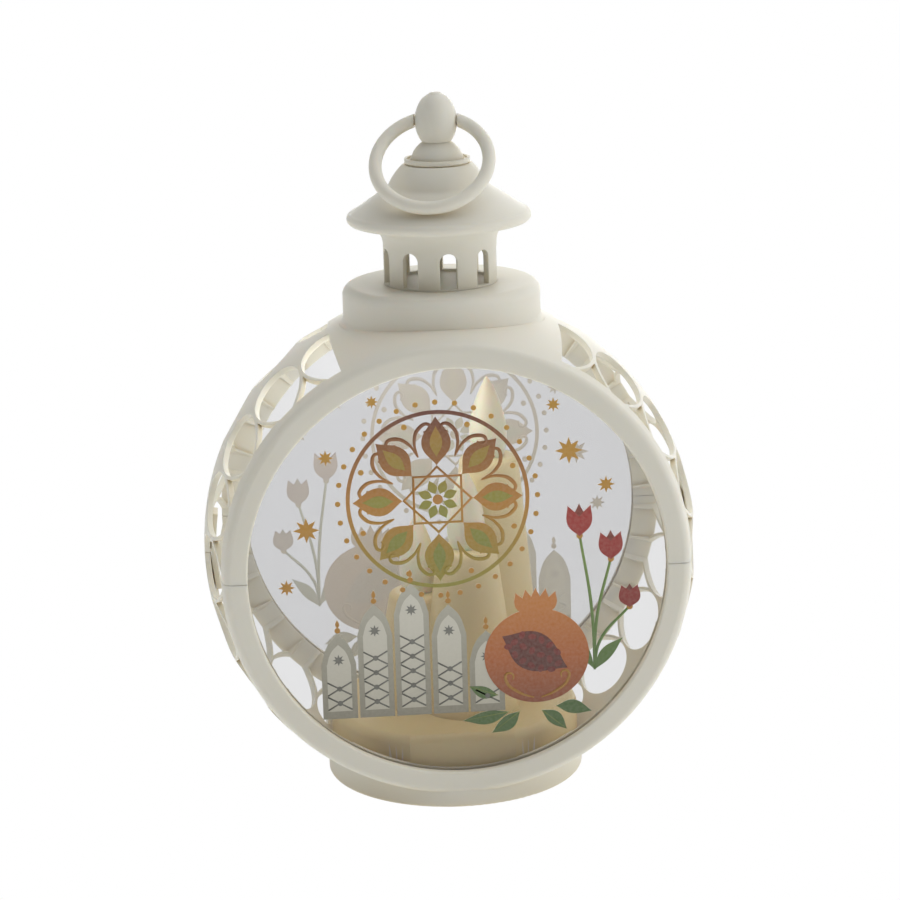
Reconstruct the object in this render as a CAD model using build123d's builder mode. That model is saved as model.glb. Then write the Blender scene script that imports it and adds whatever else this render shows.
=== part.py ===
# Round fanous lantern: a barrel drum of two half frames, two clear panes,
# a cupola with a finial and a carrying ring, and a battery candle group inside.
# Millimetres. +Z is up, the front pane faces -Y, the origin is the middle of the foot.
import os
from math import acos, asin, atan2, cos, degrees, radians, sin, sqrt

from build123d import *

os.makedirs("parts", exist_ok=True)

# Drum: two rings and a barrel belt round a level axis
belt_radius = 69.5
belt_bulge = 6.1
belt_wall = 1.6
ring_width = 5.9
ring_lift = 4.6
drum_overhang = 0.3
rim_round = 2.2
aperture_round = 0.6
ring_depth = 5.2
flange_depth = 2.0
seam_gap = 0.1

# Panes
pane_lap = 2.5
pane_thickness = 1.5
pane_play = 0.15

# Pierced belt: a row of pointed arches and triangles behind each ring, on both sides of a plain band
lattice_pitch_deg = 15.3
lattice_margin = 4.0
lattice_waist = 17.5
lattice_bar = 1.2
arch_curve = 22.8
arch_sag = 13.5
triangle_margin = 4.4
arches_per_quarter = 4
cutter_reach = 4.0
shoulder_half_angle = 27.5
foot_half_angle = 32.5

# Grip flat on the plain band, across the seam
grip_depth = 0.5
grip_width = 7.0
grip_above = 3.2
grip_below = 7.9

# Snap tongues of the upper frame, inside the belt at the seam
tongue_width = 7.0
tongue_thickness = 1.4
tongue_half_deg = 9.5
tongue_root_deg = 0.8
tongue_play = 0.35

# Cap disc on the shoulder
disc_radius = 27.6
disc_rise = 4.8
disc_skirt = 14.8
disc_round = 2.8
disc_side = 9.0
disc_flare = 1.2
disc_flare_height = 1.6
disc_wall = 2.4

# Arcade
arcade_radius = 15.8
arcade_wall = 1.8
arcade_height = 16.9
arcade_turn_deg = 4.4
window_count = 9
window_width = 4.8
window_foot = 0.6
window_height = 9.8
cove_height = 5.9
cove_flare = 5.0
spigot_depth = 2.0
floor_edge = 0.6
spigot_play = 0.15
roof_lip_height = 2.0

# Roof with its bell
eave_radius = 25.6
eave_rise = 1.2
eave_low_inset = 1.2
eave_top_inset = 1.3
eave_top_lift = 1.9
eave_round = 0.9
roof_wall = 1.8
bell_radius = 14.0
bell_foot_rise = 10.1
bell_top_radius = 9.6
bell_top_rise = 16.2
bell_top_round = 0.9
bell_foot_round = 2.5
bell_bulge = 0.5

# Finial, turned a little about the upright as it was pressed in
finial_turn_deg = -11.5
ledge_radius = 9.1
ledge_height = 1.6
ledge_round = 0.5
ledge_lip = 0.8
ledge_lip_depth = 0.5
dome_foot_radius = 7.4
dome_height = 4.9
dome_bulge = 0.7
egg_radius = 5.84
egg_lower = 5.75
egg_upper = 7.85
egg_points = 8
finial_spigot_radius = 5.9
finial_spigot_depth = 2.4
finial_spigot_play = 0.1

# Carrying ring: its two ends pin into the egg and it rests forward on the roof
ring_radius = 15.6
ring_bar_radius = 1.8
ring_end_gap = 0.25
ring_end_curve = 10.0
ring_pin_radius = 1.1
ring_pin_depth = 3.0
ring_pin_clearance = 0.05
ring_rest_gap = 0.35

# Foot, floor and the pedestal that carries the candles
foot_radius = 36.7
foot_height = 10.0
foot_wall = 2.0
foot_round = 1.0
cavity_height = 5.0
floor_thickness = 2.0
pedestal_radius = 35.5
pedestal_wall = 2.0
pedestal_rise = 12.8
pedestal_round = 2.4
floor_opening_play = 0.3

# Base plate, recessed in the foot
plate_recess = 1.0
plate_thickness = 1.8
plate_play = 0.25

# Screws: two into the frame, two into the candle group
screw_shank_radius = 1.0
screw_head_radius = 1.9
screw_head_height = 1.2
screw_length = 4.6
screw_hole_clearance = 0.06
screw_boss_radius = 3.0
screw_boss_gap = 0.2
screw_edge_gap = 0.2
screw_tip_room = 0.3
screw_recess_length = 2.6
screw_recess_width = 0.6
screw_recess_depth = 0.6

# Candle group: x, y and height above the pedestal of each candle
candle_tall = (12.5, 6.0, 70.2)
candle_medium = (4.4, -7.0, 47.2)
candle_short = (-9.0, 2.0, 32.2)
candle_foot_radius = 14.2
candle_top_radius = 8.4
candle_wall = 1.6
candle_round = 2.2
candle_boss_radius = 2.6
candle_screws = ((4.4, -17.8), (22.6, 9.6))

# Flames
flame_radius = 5.4
flame_foot_radius = 4.4
flame_height = 23.0
flame_belly_height = 6.4
flame_neck_radius = 4.5
flame_neck_height = 12.6
flame_upper_radius = 2.7
flame_upper_height = 18.2
flame_tip_radius = 0.5
flame_tip_height = 22.6
flame_spigot_radius = 3.6
flame_spigot_depth = 2.4
flame_spigot_play = 0.1
flame_bore = 2.9
flame_bore_height = 9.0

# Lamps, wires and board
led_radius = 2.4
led_length = 8.0
led_drop = 1.6
wire_radius = 0.5
wire_spacing = 2.54
board_thickness = 1.4
board_main = (16.5, 16.4)
board_main_centre = (5.75, -0.5)
board_arm = (16.0, 6.5)
board_arm_centre = (-10.25, 1.75)

# Button cells and their box
cell_radius = 5.8
cell_thickness = 5.4
cell_count = 3
cell_play = 0.2
cell_gap = 0.05
box_wall = 1.4
contact_thickness = 0.4
contact_width = 7.0
spring_travel = 2.6

# Battery door
door_thickness = 1.4
door_margin = 2.4
door_side_margin = 0.9
door_play = 0.15
door_groove = (0.8, 7.0)
door_groove_depth = 0.4
door_groove_pitch = 1.8
door_groove_count = 4
door_groove_margin = 2.2

# Slide switch
switch_x = -17.5
switch_y = 2.0
switch_size = (4.0, 8.4, 3.8)
switch_pocket = (2.8, 6.8, 1.8)
slider_size = (2.4, 3.4, 1.3)
knob_size = (1.4, 2.0)
knob_end_z = 0.4
slider_play = 0.1
switch_travel = 2.4

# Derived levels and shapes
half_depth = foot_radius + drum_overhang
rim_radius = belt_radius - belt_bulge
aperture_radius = rim_radius - ring_width
drum_axis_z = rim_radius + ring_lift
disc_top = drum_axis_z + belt_radius + disc_rise
belt_curve = (half_depth**2 + belt_bulge**2) / (2 * belt_bulge)
belt_curve_centre = belt_radius - belt_curve
arch_tip = half_depth - lattice_margin
triangle_base = half_depth - triangle_margin
cutter_inner = aperture_radius - cutter_reach
cutter_outer = belt_radius + cutter_reach
pane_radius = aperture_radius + pane_lap
ring_inner_y = half_depth - ring_depth
groove_radius = pane_radius + pane_play
groove_depth = pane_thickness + 2 * pane_play
pane_y = half_depth - flange_depth - pane_play
arcade_top = disc_top + arcade_height
arcade_inner = arcade_radius - arcade_wall
finial_seat = arcade_top + bell_top_rise
dome_foot = finial_seat + ledge_height - ledge_lip_depth
dome_top = dome_foot + dome_height
egg_centre_z = dome_top + egg_lower
egg_foot = -asin(egg_lower / egg_upper)
neck_radius = egg_radius * cos(egg_foot)
floor_top = cavity_height + floor_thickness
pedestal_top = floor_top + pedestal_rise
pedestal_ceiling = pedestal_top - floor_thickness
pedestal_half_depth = ring_inner_y + flange_depth / 4
plate_top = plate_recess + plate_thickness
screw_seat = plate_recess + screw_head_height
screw_tip = screw_seat + screw_length
screw_hole_radius = screw_shank_radius + screw_hole_clearance
frame_screw_x = foot_radius - foot_wall - screw_boss_radius - screw_edge_gap
boss_foot = plate_top + screw_boss_gap
cell_axis_z = plate_top + cell_play + cell_radius
cell_bay_top = cell_axis_z + cell_radius + cell_play
cell_bay_length = cell_count * cell_thickness + 2 * contact_thickness + spring_travel
cell_bay_width = 2 * (cell_radius + cell_play)
box_top = cell_bay_top + box_wall
board_top = box_top + board_thickness
drum_up = Axis((0, 0, drum_axis_z), (0, -1, 0))
drum_down = Axis((0, 0, drum_axis_z), (0, 1, 0))
seam_plane = Plane(origin=(0, 0, drum_axis_z), x_dir=(0, 1, 0), z_dir=(0, 0, -1))
candles = {"tall": candle_tall, "medium": candle_medium, "short": candle_short}


def belt_at(y, inset=0.0):
    return belt_curve_centre + sqrt((belt_curve - inset) ** 2 - y**2)


def drum_section():
    # Both rings and the belt, cut at the seam: local x is world Y, local y is the radius
    groove_front = half_depth - flange_depth
    groove_back = groove_front - groove_depth
    inner_corner = belt_at(ring_inner_y, belt_wall)
    half = [
        (half_depth, rim_radius),
        (half_depth, aperture_radius),
        (groove_front, aperture_radius),
        (groove_front, groove_radius),
        (groove_back, groove_radius),
        (groove_back, aperture_radius),
        (ring_inner_y, aperture_radius),
        (ring_inner_y, inner_corner),
    ]
    other = [(-y, r) for y, r in half]
    with BuildSketch(seam_plane) as section:
        with BuildLine():
            ThreePointArc(other[0], (0, belt_radius), half[0])
            Polyline(*half)
            ThreePointArc(half[-1], (0, belt_radius - belt_wall), other[-1])
            Polyline(*reversed(other))
        make_face()
        for radius, rounding in ((rim_radius, rim_round), (aperture_radius, aperture_round)):
            for y in (half_depth, -half_depth):
                corner = section.vertices().sort_by_distance((y, radius))[0]
                fillet(corner, radius=rounding)
    return section.sketch


def drum_space():
    # The room between the rings, inside the belt
    corner = belt_at(ring_inner_y, belt_wall)
    with BuildSketch(seam_plane) as space:
        with BuildLine():
            ThreePointArc((-ring_inner_y, corner), (0, belt_radius - belt_wall), (ring_inner_y, corner))
            Polyline((ring_inner_y, corner), (ring_inner_y, 0), (-ring_inner_y, 0), (-ring_inner_y, corner))
        make_face()
    return space.sketch


def tongue_section(plane, outer_inset, inner_inset):
    # A strip under the belt between two depths below its inner face
    side = tongue_width / 2
    outer = belt_wall + outer_inset
    inner = belt_wall + inner_inset
    with BuildSketch(plane) as strip:
        with BuildLine():
            top = [(y, belt_at(y, outer)) for y in (-side, 0, side)]
            low = [(y, belt_at(y, inner)) for y in (side, 0, -side)]
            ThreePointArc(*top)
            Line(top[2], low[0])
            ThreePointArc(*low)
            Line(low[2], top[0])
        make_face()
    return strip.sketch


def lattice_plane(angle_deg):
    # A plane square to the belt's radius: local x runs up round the belt, local y runs to the front
    a = radians(angle_deg)
    return Plane(
        origin=(cutter_inner * cos(a), 0, drum_axis_z + cutter_inner * sin(a)),
        x_dir=(-sin(a), 0, cos(a)),
        z_dir=(cos(a), 0, sin(a)),
    )


lattice_pitch = belt_at(lattice_waist) * radians(lattice_pitch_deg)
arch_half_width = (lattice_pitch - lattice_bar) / 2


def arch_side(v):
    # Half width of an arch at the depth v
    return arch_half_width - arch_curve + sqrt(arch_curve**2 - (v - lattice_waist) ** 2)


def triangle_side(v):
    # Half width of the triangle between two arches at the depth v
    bar_outer = arch_curve + lattice_bar
    return arch_curve + lattice_bar / 2 - sqrt(bar_outer**2 - (v - lattice_waist) ** 2)


triangle_tip = lattice_waist + sqrt((arch_curve + lattice_bar) ** 2 - (arch_curve + lattice_bar / 2) ** 2)


with BuildSketch() as arches:
    for way in (1, -1):
        bend = (lattice_waist + arch_tip) / 2
        left = [(-arch_side(v), way * v) for v in (lattice_waist, bend, arch_tip)]
        right = [(arch_side(v), way * v) for v in (arch_tip, bend, lattice_waist)]
        with BuildLine():
            ThreePointArc(*left)
            Line(left[2], right[0])
            ThreePointArc(*right)
            crown_start = 90 + way * 90
            EllipticalCenterArc((0, way * lattice_waist), arch_half_width, arch_sag, crown_start, arc_size=180)
        make_face()

with BuildSketch() as triangles:
    for way in (1, -1):
        middle = (triangle_tip + triangle_base) / 2
        tip = (0, way * triangle_tip)
        left = (-triangle_side(triangle_base), way * triangle_base)
        right = (triangle_side(triangle_base), way * triangle_base)
        with BuildLine():
            ThreePointArc(tip, (triangle_side(middle), way * middle), right)
            Line(right, left)
            ThreePointArc(left, (-triangle_side(middle), way * middle), tip)
        make_face()


def pierce_belt(way, solid_half_angle):
    # The openings of one frame: way is 1 above the seam and -1 below it
    with BuildPart() as openings:
        for i in range(arches_per_quarter + 1):
            up = i * lattice_pitch_deg
            last_deg = 90 - solid_half_angle - up
            if last_deg < -lattice_pitch_deg / 4:
                continue
            for angle in (way * up, 180 - way * up):
                grows = way if angle == way * up else -way
                with BuildSketch(lattice_plane(angle)):
                    add(arches.sketch)
                    if last_deg < lattice_pitch_deg / 2:
                        edge = belt_radius * sin(radians(last_deg))
                        with Locations((grows * (edge - lattice_pitch), 0)):
                            Rectangle(2 * lattice_pitch, 3 * half_depth, mode=Mode.INTERSECT)
                extrude(amount=cutter_outer - cutter_inner)
        for i in range(arches_per_quarter):
            up = (i + 0.5) * lattice_pitch_deg
            if up > 90 - solid_half_angle - lattice_pitch_deg / 4:
                continue
            for angle in (way * up, 180 - way * up):
                with BuildSketch(lattice_plane(angle)):
                    add(triangles.sketch)
                extrude(amount=cutter_outer - cutter_inner)
    return openings.part


def grip_flats():
    with BuildPart() as flats:
        for way in (1, -1):
            with BuildSketch(Plane.YZ.offset(way * (belt_radius - grip_depth))):
                with Locations((0, drum_axis_z + (grip_above - grip_below) / 2)):
                    Rectangle(grip_width, grip_above + grip_below)
            extrude(amount=way * cutter_reach)
    return flats.part


# Upper frame
with BuildPart() as upper_frame:
    revolve(drum_section(), axis=drum_up, revolution_arc=180)
    split(bisect_by=Plane.XY.offset(drum_axis_z + seam_gap / 2), keep=Keep.TOP)
    add(pierce_belt(1, shoulder_half_angle), mode=Mode.SUBTRACT)
    add(grip_flats(), mode=Mode.SUBTRACT)
    with BuildSketch(Plane.XZ) as disc_section:
        flare_top = disc_top - disc_side
        flare_foot = flare_top - disc_flare_height
        flare_radius = disc_radius + disc_flare
        skirt_foot = disc_top - disc_skirt
        with BuildLine():
            Polyline((0, skirt_foot), (0, disc_top), (disc_radius, disc_top), (disc_radius, flare_top))
            TangentArc((disc_radius, flare_top), (flare_radius, flare_foot), tangent=(0, -1))
            Polyline((flare_radius, flare_foot), (flare_radius, skirt_foot), (0, skirt_foot))
        make_face()
        fillet(disc_section.vertices().sort_by_distance((disc_radius, disc_top))[0], radius=disc_round)
    revolve(axis=Axis.Z)
    revolve(drum_space(), axis=drum_up, revolution_arc=180, mode=Mode.SUBTRACT)
    with BuildSketch(Plane.XY.offset(disc_top - disc_wall)):
        Circle(disc_radius - disc_wall)
    extrude(amount=-(disc_skirt + belt_wall), mode=Mode.SUBTRACT)
    with BuildSketch(Plane.XY.offset(disc_top)):
        Circle(arcade_inner + spigot_play)
    extrude(amount=-2 * disc_wall, mode=Mode.SUBTRACT)
    # Tongues: a curved plate inside each side of the belt, hung from a thin root above the seam
    for way in (1, -1):
        side = Plane(origin=(0, 0, drum_axis_z), x_dir=(0, 1, 0), z_dir=(0, 0, -way))
        upward = Axis((0, 0, drum_axis_z), (0, -way, 0))
        plate = tongue_section(side, tongue_play, tongue_play + tongue_thickness)
        revolve(plate.rotate(upward, -tongue_half_deg), axis=upward, revolution_arc=2 * tongue_half_deg)
        root = tongue_section(side, -belt_wall / 2, tongue_play + tongue_thickness / 2)
        lift = degrees(seam_gap / belt_radius)
        revolve(root.rotate(upward, lift), axis=upward, revolution_arc=tongue_root_deg)
upper_frame.part.label = "upper_frame"
export_step(upper_frame.part, "parts/upper_frame.step")

# Lower frame with the foot
with BuildPart() as lower_frame:
    revolve(drum_section(), axis=drum_down, revolution_arc=180)
    split(bisect_by=Plane.XY.offset(drum_axis_z - seam_gap / 2), keep=Keep.BOTTOM)
    add(pierce_belt(-1, foot_half_angle), mode=Mode.SUBTRACT)
    add(grip_flats(), mode=Mode.SUBTRACT)
    with BuildSketch():
        Circle(foot_radius)
    extrude(amount=foot_height)
    fillet(lower_frame.edges().group_by(Axis.Z)[0], radius=foot_round)
    revolve(drum_space(), axis=drum_down, revolution_arc=180, mode=Mode.SUBTRACT)
    with BuildSketch(Plane.XY.offset(cavity_height)):
        Circle(foot_radius - foot_wall / 2)
        Rectangle(2 * foot_radius, 2 * pedestal_half_depth, mode=Mode.INTERSECT)
    extrude(amount=floor_thickness)
    with BuildSketch(Plane.XY.offset(-cavity_height)):
        Circle(foot_radius - foot_wall)
    extrude(amount=2 * cavity_height, mode=Mode.SUBTRACT)
    for way in (1, -1):
        with BuildSketch(Plane.XZ.offset(way * (half_depth - flange_depth))):
            with Locations((0, drum_axis_z)):
                Circle(groove_radius)
        extrude(amount=-way * groove_depth, mode=Mode.SUBTRACT)
    # Pedestal: a hollow drum over the cells, cut flat behind the panes
    with BuildSketch(Plane.XY.offset(cavity_height)):
        Circle(pedestal_radius)
        Rectangle(2 * pedestal_radius, 2 * pedestal_half_depth, mode=Mode.INTERSECT)
    extrude(amount=pedestal_top - cavity_height)
    fillet(lower_frame.edges().filter_by_position(Axis.Z, pedestal_top, pedestal_top), radius=pedestal_round)
    with BuildSketch():
        Circle(pedestal_radius - pedestal_wall)
        Rectangle(2 * pedestal_radius, 2 * (pedestal_half_depth - pedestal_wall), mode=Mode.INTERSECT)
    extrude(amount=pedestal_ceiling, mode=Mode.SUBTRACT)
    with BuildSketch(Plane.XY.offset(boss_foot)):
        with Locations((frame_screw_x, 0), (-frame_screw_x, 0)):
            Circle(screw_boss_radius)
    extrude(amount=pedestal_ceiling - boss_foot)
    with BuildSketch(Plane.XY.offset(boss_foot)):
        with Locations((frame_screw_x, 0), (-frame_screw_x, 0)):
            Circle(screw_hole_radius)
    extrude(amount=screw_tip + screw_tip_room - boss_foot, mode=Mode.SUBTRACT)
    # Holes in the pedestal's top for the lamp wires and the candle group's bosses
    with BuildSketch(Plane.XY.offset(pedestal_ceiling)):
        with Locations(*[(x, y) for x, y, height in candles.values()]):
            Circle(wire_spacing / 2 + wire_radius + floor_opening_play)
        with Locations(*candle_screws):
            Circle(candle_boss_radius + floor_opening_play)
    extrude(amount=floor_thickness, mode=Mode.SUBTRACT)
lower_frame.part.label = "lower_frame"
export_step(lower_frame.part, "parts/lower_frame.step")


def pane(front):
    with BuildPart() as disc:
        with BuildSketch(Plane.XZ.offset(pane_y if front else -pane_y)):
            with Locations((0, drum_axis_z)):
                Circle(pane_radius)
        extrude(amount=-pane_thickness if front else pane_thickness)
    return disc.part


# Clear panes in the ring grooves
with BuildPart() as front_pane:
    add(pane(True))
front_pane.part.label = "front_pane"
export_step(front_pane.part, "parts/front_pane.step")

with BuildPart() as rear_pane:
    add(pane(False))
rear_pane.part.label = "rear_pane"
export_step(rear_pane.part, "parts/rear_pane.step")

# Arcade: a ring wall with round-arched windows, a floor with a spigot below and a cove at the top
with BuildPart() as arcade:
    cove_foot = arcade_top - cove_height
    cove_radius = arcade_radius + cove_flare
    lip_radius = arcade_radius - spigot_play
    with BuildSketch(Plane.XZ):
        with BuildLine():
            Polyline(
                (0, disc_top),
                (0, disc_top - spigot_depth),
                (arcade_inner, disc_top - spigot_depth),
                (arcade_inner, disc_top),
                (arcade_radius, disc_top),
                (arcade_radius, cove_foot),
            )
            TangentArc((arcade_radius, cove_foot), (cove_radius, arcade_top), tangent=(0, 1))
            Polyline(
                (cove_radius, arcade_top),
                (lip_radius, arcade_top),
                (lip_radius, arcade_top + roof_lip_height),
                (arcade_inner, arcade_top + roof_lip_height),
                (arcade_inner, disc_top + floor_edge),
                (arcade_inner - floor_edge, disc_top),
                (0, disc_top),
            )
        make_face()
    revolve(axis=Axis.Z)
    for i in range(window_count):
        a = radians(arcade_turn_deg - 90 + i * 360 / window_count)
        window = Plane(origin=(0, 0, disc_top), x_dir=(-sin(a), cos(a), 0), z_dir=(cos(a), sin(a), 0))
        with BuildSketch(window):
            straight = window_height - window_width / 2
            with Locations((0, window_foot + straight / 2)):
                Rectangle(window_width, straight)
            with Locations((0, window_foot + straight)):
                Circle(window_width / 2)
        extrude(amount=2 * arcade_radius, mode=Mode.SUBTRACT)
arcade.part.label = "arcade"
export_step(arcade.part, "parts/arcade.step")

# Roof: a hollow eave with a small bell on top
bell_foot_z = arcade_top + bell_foot_rise
eave_top = (eave_radius - eave_top_inset, arcade_top + eave_rise + eave_top_lift)
with BuildPart() as roof:
    with BuildSketch(Plane.XZ) as roof_section:
        with BuildLine():
            eave_low = (eave_radius - eave_low_inset, arcade_top)
            bell_foot = (bell_radius, bell_foot_z)
            bell_top = (bell_top_radius, finial_seat)
            bell_mid = ((bell_radius + bell_top_radius) / 2 + bell_bulge, (bell_foot_z + finial_seat) / 2)
            seat_radius = finial_spigot_radius + finial_spigot_play
            Line((arcade_radius, arcade_top), eave_low)
            ThreePointArc(eave_low, (eave_radius, arcade_top + eave_rise), eave_top)
            Line(eave_top, bell_foot)
            ThreePointArc(bell_foot, bell_mid, bell_top)
            Polyline(
                bell_top,
                (seat_radius, finial_seat),
                (seat_radius, finial_seat - roof_wall),
                (bell_top_radius - roof_wall, finial_seat - roof_wall),
                (bell_radius - roof_wall, bell_foot_z - roof_wall),
                (eave_radius - 2 * roof_wall, arcade_top + roof_wall),
                (arcade_radius, arcade_top + roof_wall),
                (arcade_radius, arcade_top),
            )
        make_face()
        fillet(roof_section.vertices().sort_by_distance(bell_top)[0], radius=bell_top_round)
        fillet(roof_section.vertices().sort_by_distance(eave_low)[0], radius=eave_round)
    revolve(axis=Axis.Z)
    bell_corner = roof.edges().filter_by_position(Axis.Z, bell_foot_z, bell_foot_z).sort_by(SortBy.RADIUS)[-1]
    fillet(bell_corner, radius=bell_foot_round)
roof.part.label = "roof"
export_step(roof.part, "parts/roof.step")

# Finial: a lipped ledge, small dome and egg, with a blind pin hole on each side
pin_way = (cos(radians(finial_turn_deg)), sin(radians(finial_turn_deg)), 0)
with BuildPart() as finial:
    ledge_top = finial_seat + ledge_height
    with BuildSketch(Plane.YZ):
        with BuildLine():
            Polyline(
                (0, finial_seat - finial_spigot_depth),
                (finial_spigot_radius, finial_seat - finial_spigot_depth),
                (finial_spigot_radius, finial_seat),
                (ledge_radius - ledge_round, finial_seat),
                (ledge_radius, finial_seat + ledge_round),
                (ledge_radius, ledge_top),
                (ledge_radius - ledge_lip, ledge_top),
                (ledge_radius - ledge_lip, dome_foot),
                (dome_foot_radius, dome_foot),
            )
            dome_mid = ((dome_foot_radius + neck_radius) / 2 + dome_bulge, (dome_foot + dome_top) / 2)
            ThreePointArc((dome_foot_radius, dome_foot), dome_mid, (neck_radius, dome_top))
            egg_turns = [egg_foot + (radians(90) - egg_foot) * k / egg_points for k in range(egg_points)]
            egg_side = [(egg_radius * cos(a), egg_centre_z + egg_upper * sin(a)) for a in egg_turns]
            egg_tip = (0, egg_centre_z + egg_upper)
            foot_way = Vector(-egg_radius * sin(egg_foot), egg_upper * cos(egg_foot)).normalized()
            Spline(*egg_side, egg_tip, tangents=(foot_way, (-1, 0)))
            Line(egg_tip, (0, finial_seat - finial_spigot_depth))
        make_face()
    revolve(axis=Axis.Z)
    for way in (1, -1):
        outward = tuple(way * c for c in pin_way)
        hole_end = egg_radius - ring_pin_depth - ring_end_gap
        with BuildSketch(Plane(origin=(0, 0, egg_centre_z), z_dir=outward).offset(hole_end)):
            Circle(ring_pin_radius + ring_pin_clearance)
        extrude(amount=egg_radius, mode=Mode.SUBTRACT)
finial.part.label = "finial"
export_step(finial.part, "parts/finial.step")

# Carrying ring, hung forward from the egg until its low side lies on the roof
ring_end_x = egg_radius + ring_end_gap
ring_drop = sqrt(ring_radius**2 - ring_end_x**2)
roof_slope = atan2(bell_foot_z - eave_top[1], eave_top[0] - bell_radius)
roof_below = (egg_centre_z - eave_top[1]) * cos(roof_slope) - eave_top[0] * sin(roof_slope)
ring_reach = ring_drop + ring_radius
ring_rest = acos((roof_below - ring_bar_radius - ring_rest_gap) / ring_reach) - roof_slope
with BuildPart() as handle_ring:
    lean = sin(ring_rest)
    ring_normal = (cos(ring_rest) * pin_way[1], -cos(ring_rest) * pin_way[0], lean)
    ring_face = Plane(origin=(0, 0, egg_centre_z), x_dir=pin_way, z_dir=ring_normal)
    end_deg = degrees(asin(ring_drop / ring_radius))
    inward_deg = degrees(2 * ring_bar_radius / ring_radius)
    with BuildLine(ring_face) as ring_path:
        reach_deg = end_deg + inward_deg
        CenterArc((0, -ring_drop), ring_radius, 180 - reach_deg, 180 + 2 * reach_deg)
    with BuildSketch(Plane(origin=ring_path.line @ 0, z_dir=ring_path.line % 0)):
        Circle(ring_bar_radius)
    sweep(path=ring_path.line)
    # The ends follow the egg
    with BuildSketch(ring_face):
        Ellipse(ring_end_x, ring_end_curve)
        with Locations((0, -ring_end_curve)):
            Rectangle(2 * ring_end_curve, 2 * ring_end_curve, mode=Mode.SUBTRACT)
    revolve(axis=Axis((0, 0, egg_centre_z), pin_way), mode=Mode.SUBTRACT)
    for way in (1, -1):
        outward = tuple(way * c for c in pin_way)
        pin_end = egg_radius - ring_pin_depth
        with BuildSketch(Plane(origin=(0, 0, egg_centre_z), z_dir=outward).offset(pin_end)):
            Circle(ring_pin_radius)
        extrude(amount=ring_end_x + ring_bar_radius / 2 - pin_end)
handle_ring.part.label = "handle_ring"
export_step(handle_ring.part, "parts/handle_ring.step")


def candle_body(name, inset):
    # One tapered candle, or with an inset the hollow inside it
    x, y, height = candles[name]
    bottom = Plane(origin=(x, y, pedestal_top), x_dir=(1, 0, 0), z_dir=(0, 0, 1))
    with BuildPart() as body:
        with BuildSketch(bottom):
            Circle(candle_foot_radius - inset)
        with BuildSketch(bottom.offset(height - inset)):
            Circle(candle_top_radius - inset)
        loft()
        if inset == 0:
            fillet(body.edges().group_by(Axis.Z)[-1], radius=candle_round)
    return body.part


# Candle group: three tapered candles moulded as one hollow shell
with BuildPart() as candle_group:
    for name in candles:
        add(candle_body(name, 0))
    for name in candles:
        add(candle_body(name, candle_wall), mode=Mode.SUBTRACT)
    with BuildSketch(Plane.XY.offset(boss_foot)):
        with Locations(*candle_screws):
            Circle(candle_boss_radius)
    extrude(amount=pedestal_top + 2 * candle_wall - boss_foot)
    with BuildSketch(Plane.XY.offset(boss_foot)):
        with Locations(*candle_screws):
            Circle(screw_hole_radius)
    extrude(amount=screw_tip + screw_tip_room - boss_foot, mode=Mode.SUBTRACT)
    for x, y, height in candles.values():
        with BuildSketch(Plane.XY.offset(pedestal_top + height)):
            with Locations((x, y)):
                Circle(flame_spigot_radius + flame_spigot_play)
        extrude(amount=-2 * candle_wall, mode=Mode.SUBTRACT)
candle_group.part.label = "candle_group"
export_step(candle_group.part, "parts/candle_group.step")


def flame_shell(name):
    x, y, height = candles[name]
    axis_plane = Plane(origin=(x, y, pedestal_top + height), x_dir=(1, 0, 0), z_dir=(0, -1, 0))
    with BuildPart() as shell:
        with BuildSketch(axis_plane):
            with BuildLine():
                Polyline(
                    (flame_bore, -flame_spigot_depth),
                    (flame_spigot_radius, -flame_spigot_depth),
                    (flame_spigot_radius, 0),
                    (flame_foot_radius, 0),
                )
                neck = (flame_neck_radius, flame_neck_height)
                tip_side = (flame_tip_radius, flame_tip_height)
                ThreePointArc((flame_foot_radius, 0), (flame_radius, flame_belly_height), neck)
                ThreePointArc(neck, (flame_upper_radius, flame_upper_height), tip_side)
                Polyline(
                    tip_side,
                    (0, flame_height),
                    (0, flame_bore_height),
                    (flame_bore, flame_bore_height - flame_bore),
                    (flame_bore, -flame_spigot_depth),
                )
            make_face()
        revolve(axis=Axis((x, y, 0), (0, 0, 1)))
    return shell.part


# Flames: milky shells over the lamps
with BuildPart() as flame_tall:
    add(flame_shell("tall"))
flame_tall.part.label = "flame_tall"
export_step(flame_tall.part, "parts/flame_tall.step")

with BuildPart() as flame_medium:
    add(flame_shell("medium"))
flame_medium.part.label = "flame_medium"
export_step(flame_medium.part, "parts/flame_medium.step")

with BuildPart() as flame_short:
    add(flame_shell("short"))
flame_short.part.label = "flame_short"
export_step(flame_short.part, "parts/flame_short.step")

# Lamps: one round-nosed light-emitting diode in each flame
with BuildPart() as leds:
    for x, y, height in candles.values():
        with BuildSketch(Plane.XY.offset(pedestal_top + height - led_drop)):
            with Locations((x, y)):
                Circle(led_radius)
        extrude(amount=led_length - led_radius)
        with Locations((x, y, pedestal_top + height - led_drop + led_length - led_radius)):
            Sphere(led_radius)
leds.part.label = "leds"
export_step(leds.part, "parts/leds.step")

# Lamp wires, straight down from each lamp to the board
with BuildPart() as led_wires:
    for x, y, height in candles.values():
        with BuildSketch(Plane.XY.offset(board_top)):
            with Locations((x, y - wire_spacing / 2), (x, y + wire_spacing / 2)):
                Circle(wire_radius)
        extrude(amount=pedestal_top + height - led_drop - board_top)
led_wires.part.label = "led_wires"
export_step(led_wires.part, "parts/led_wires.step")

# Board on top of the cell box
with BuildPart() as led_board:
    with BuildSketch(Plane.XY.offset(box_top)):
        with Locations(board_main_centre):
            Rectangle(*board_main)
        with Locations(board_arm_centre):
            Rectangle(*board_arm)
    extrude(amount=board_thickness)
led_board.part.label = "led_board"
export_step(led_board.part, "parts/led_board.step")

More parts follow.
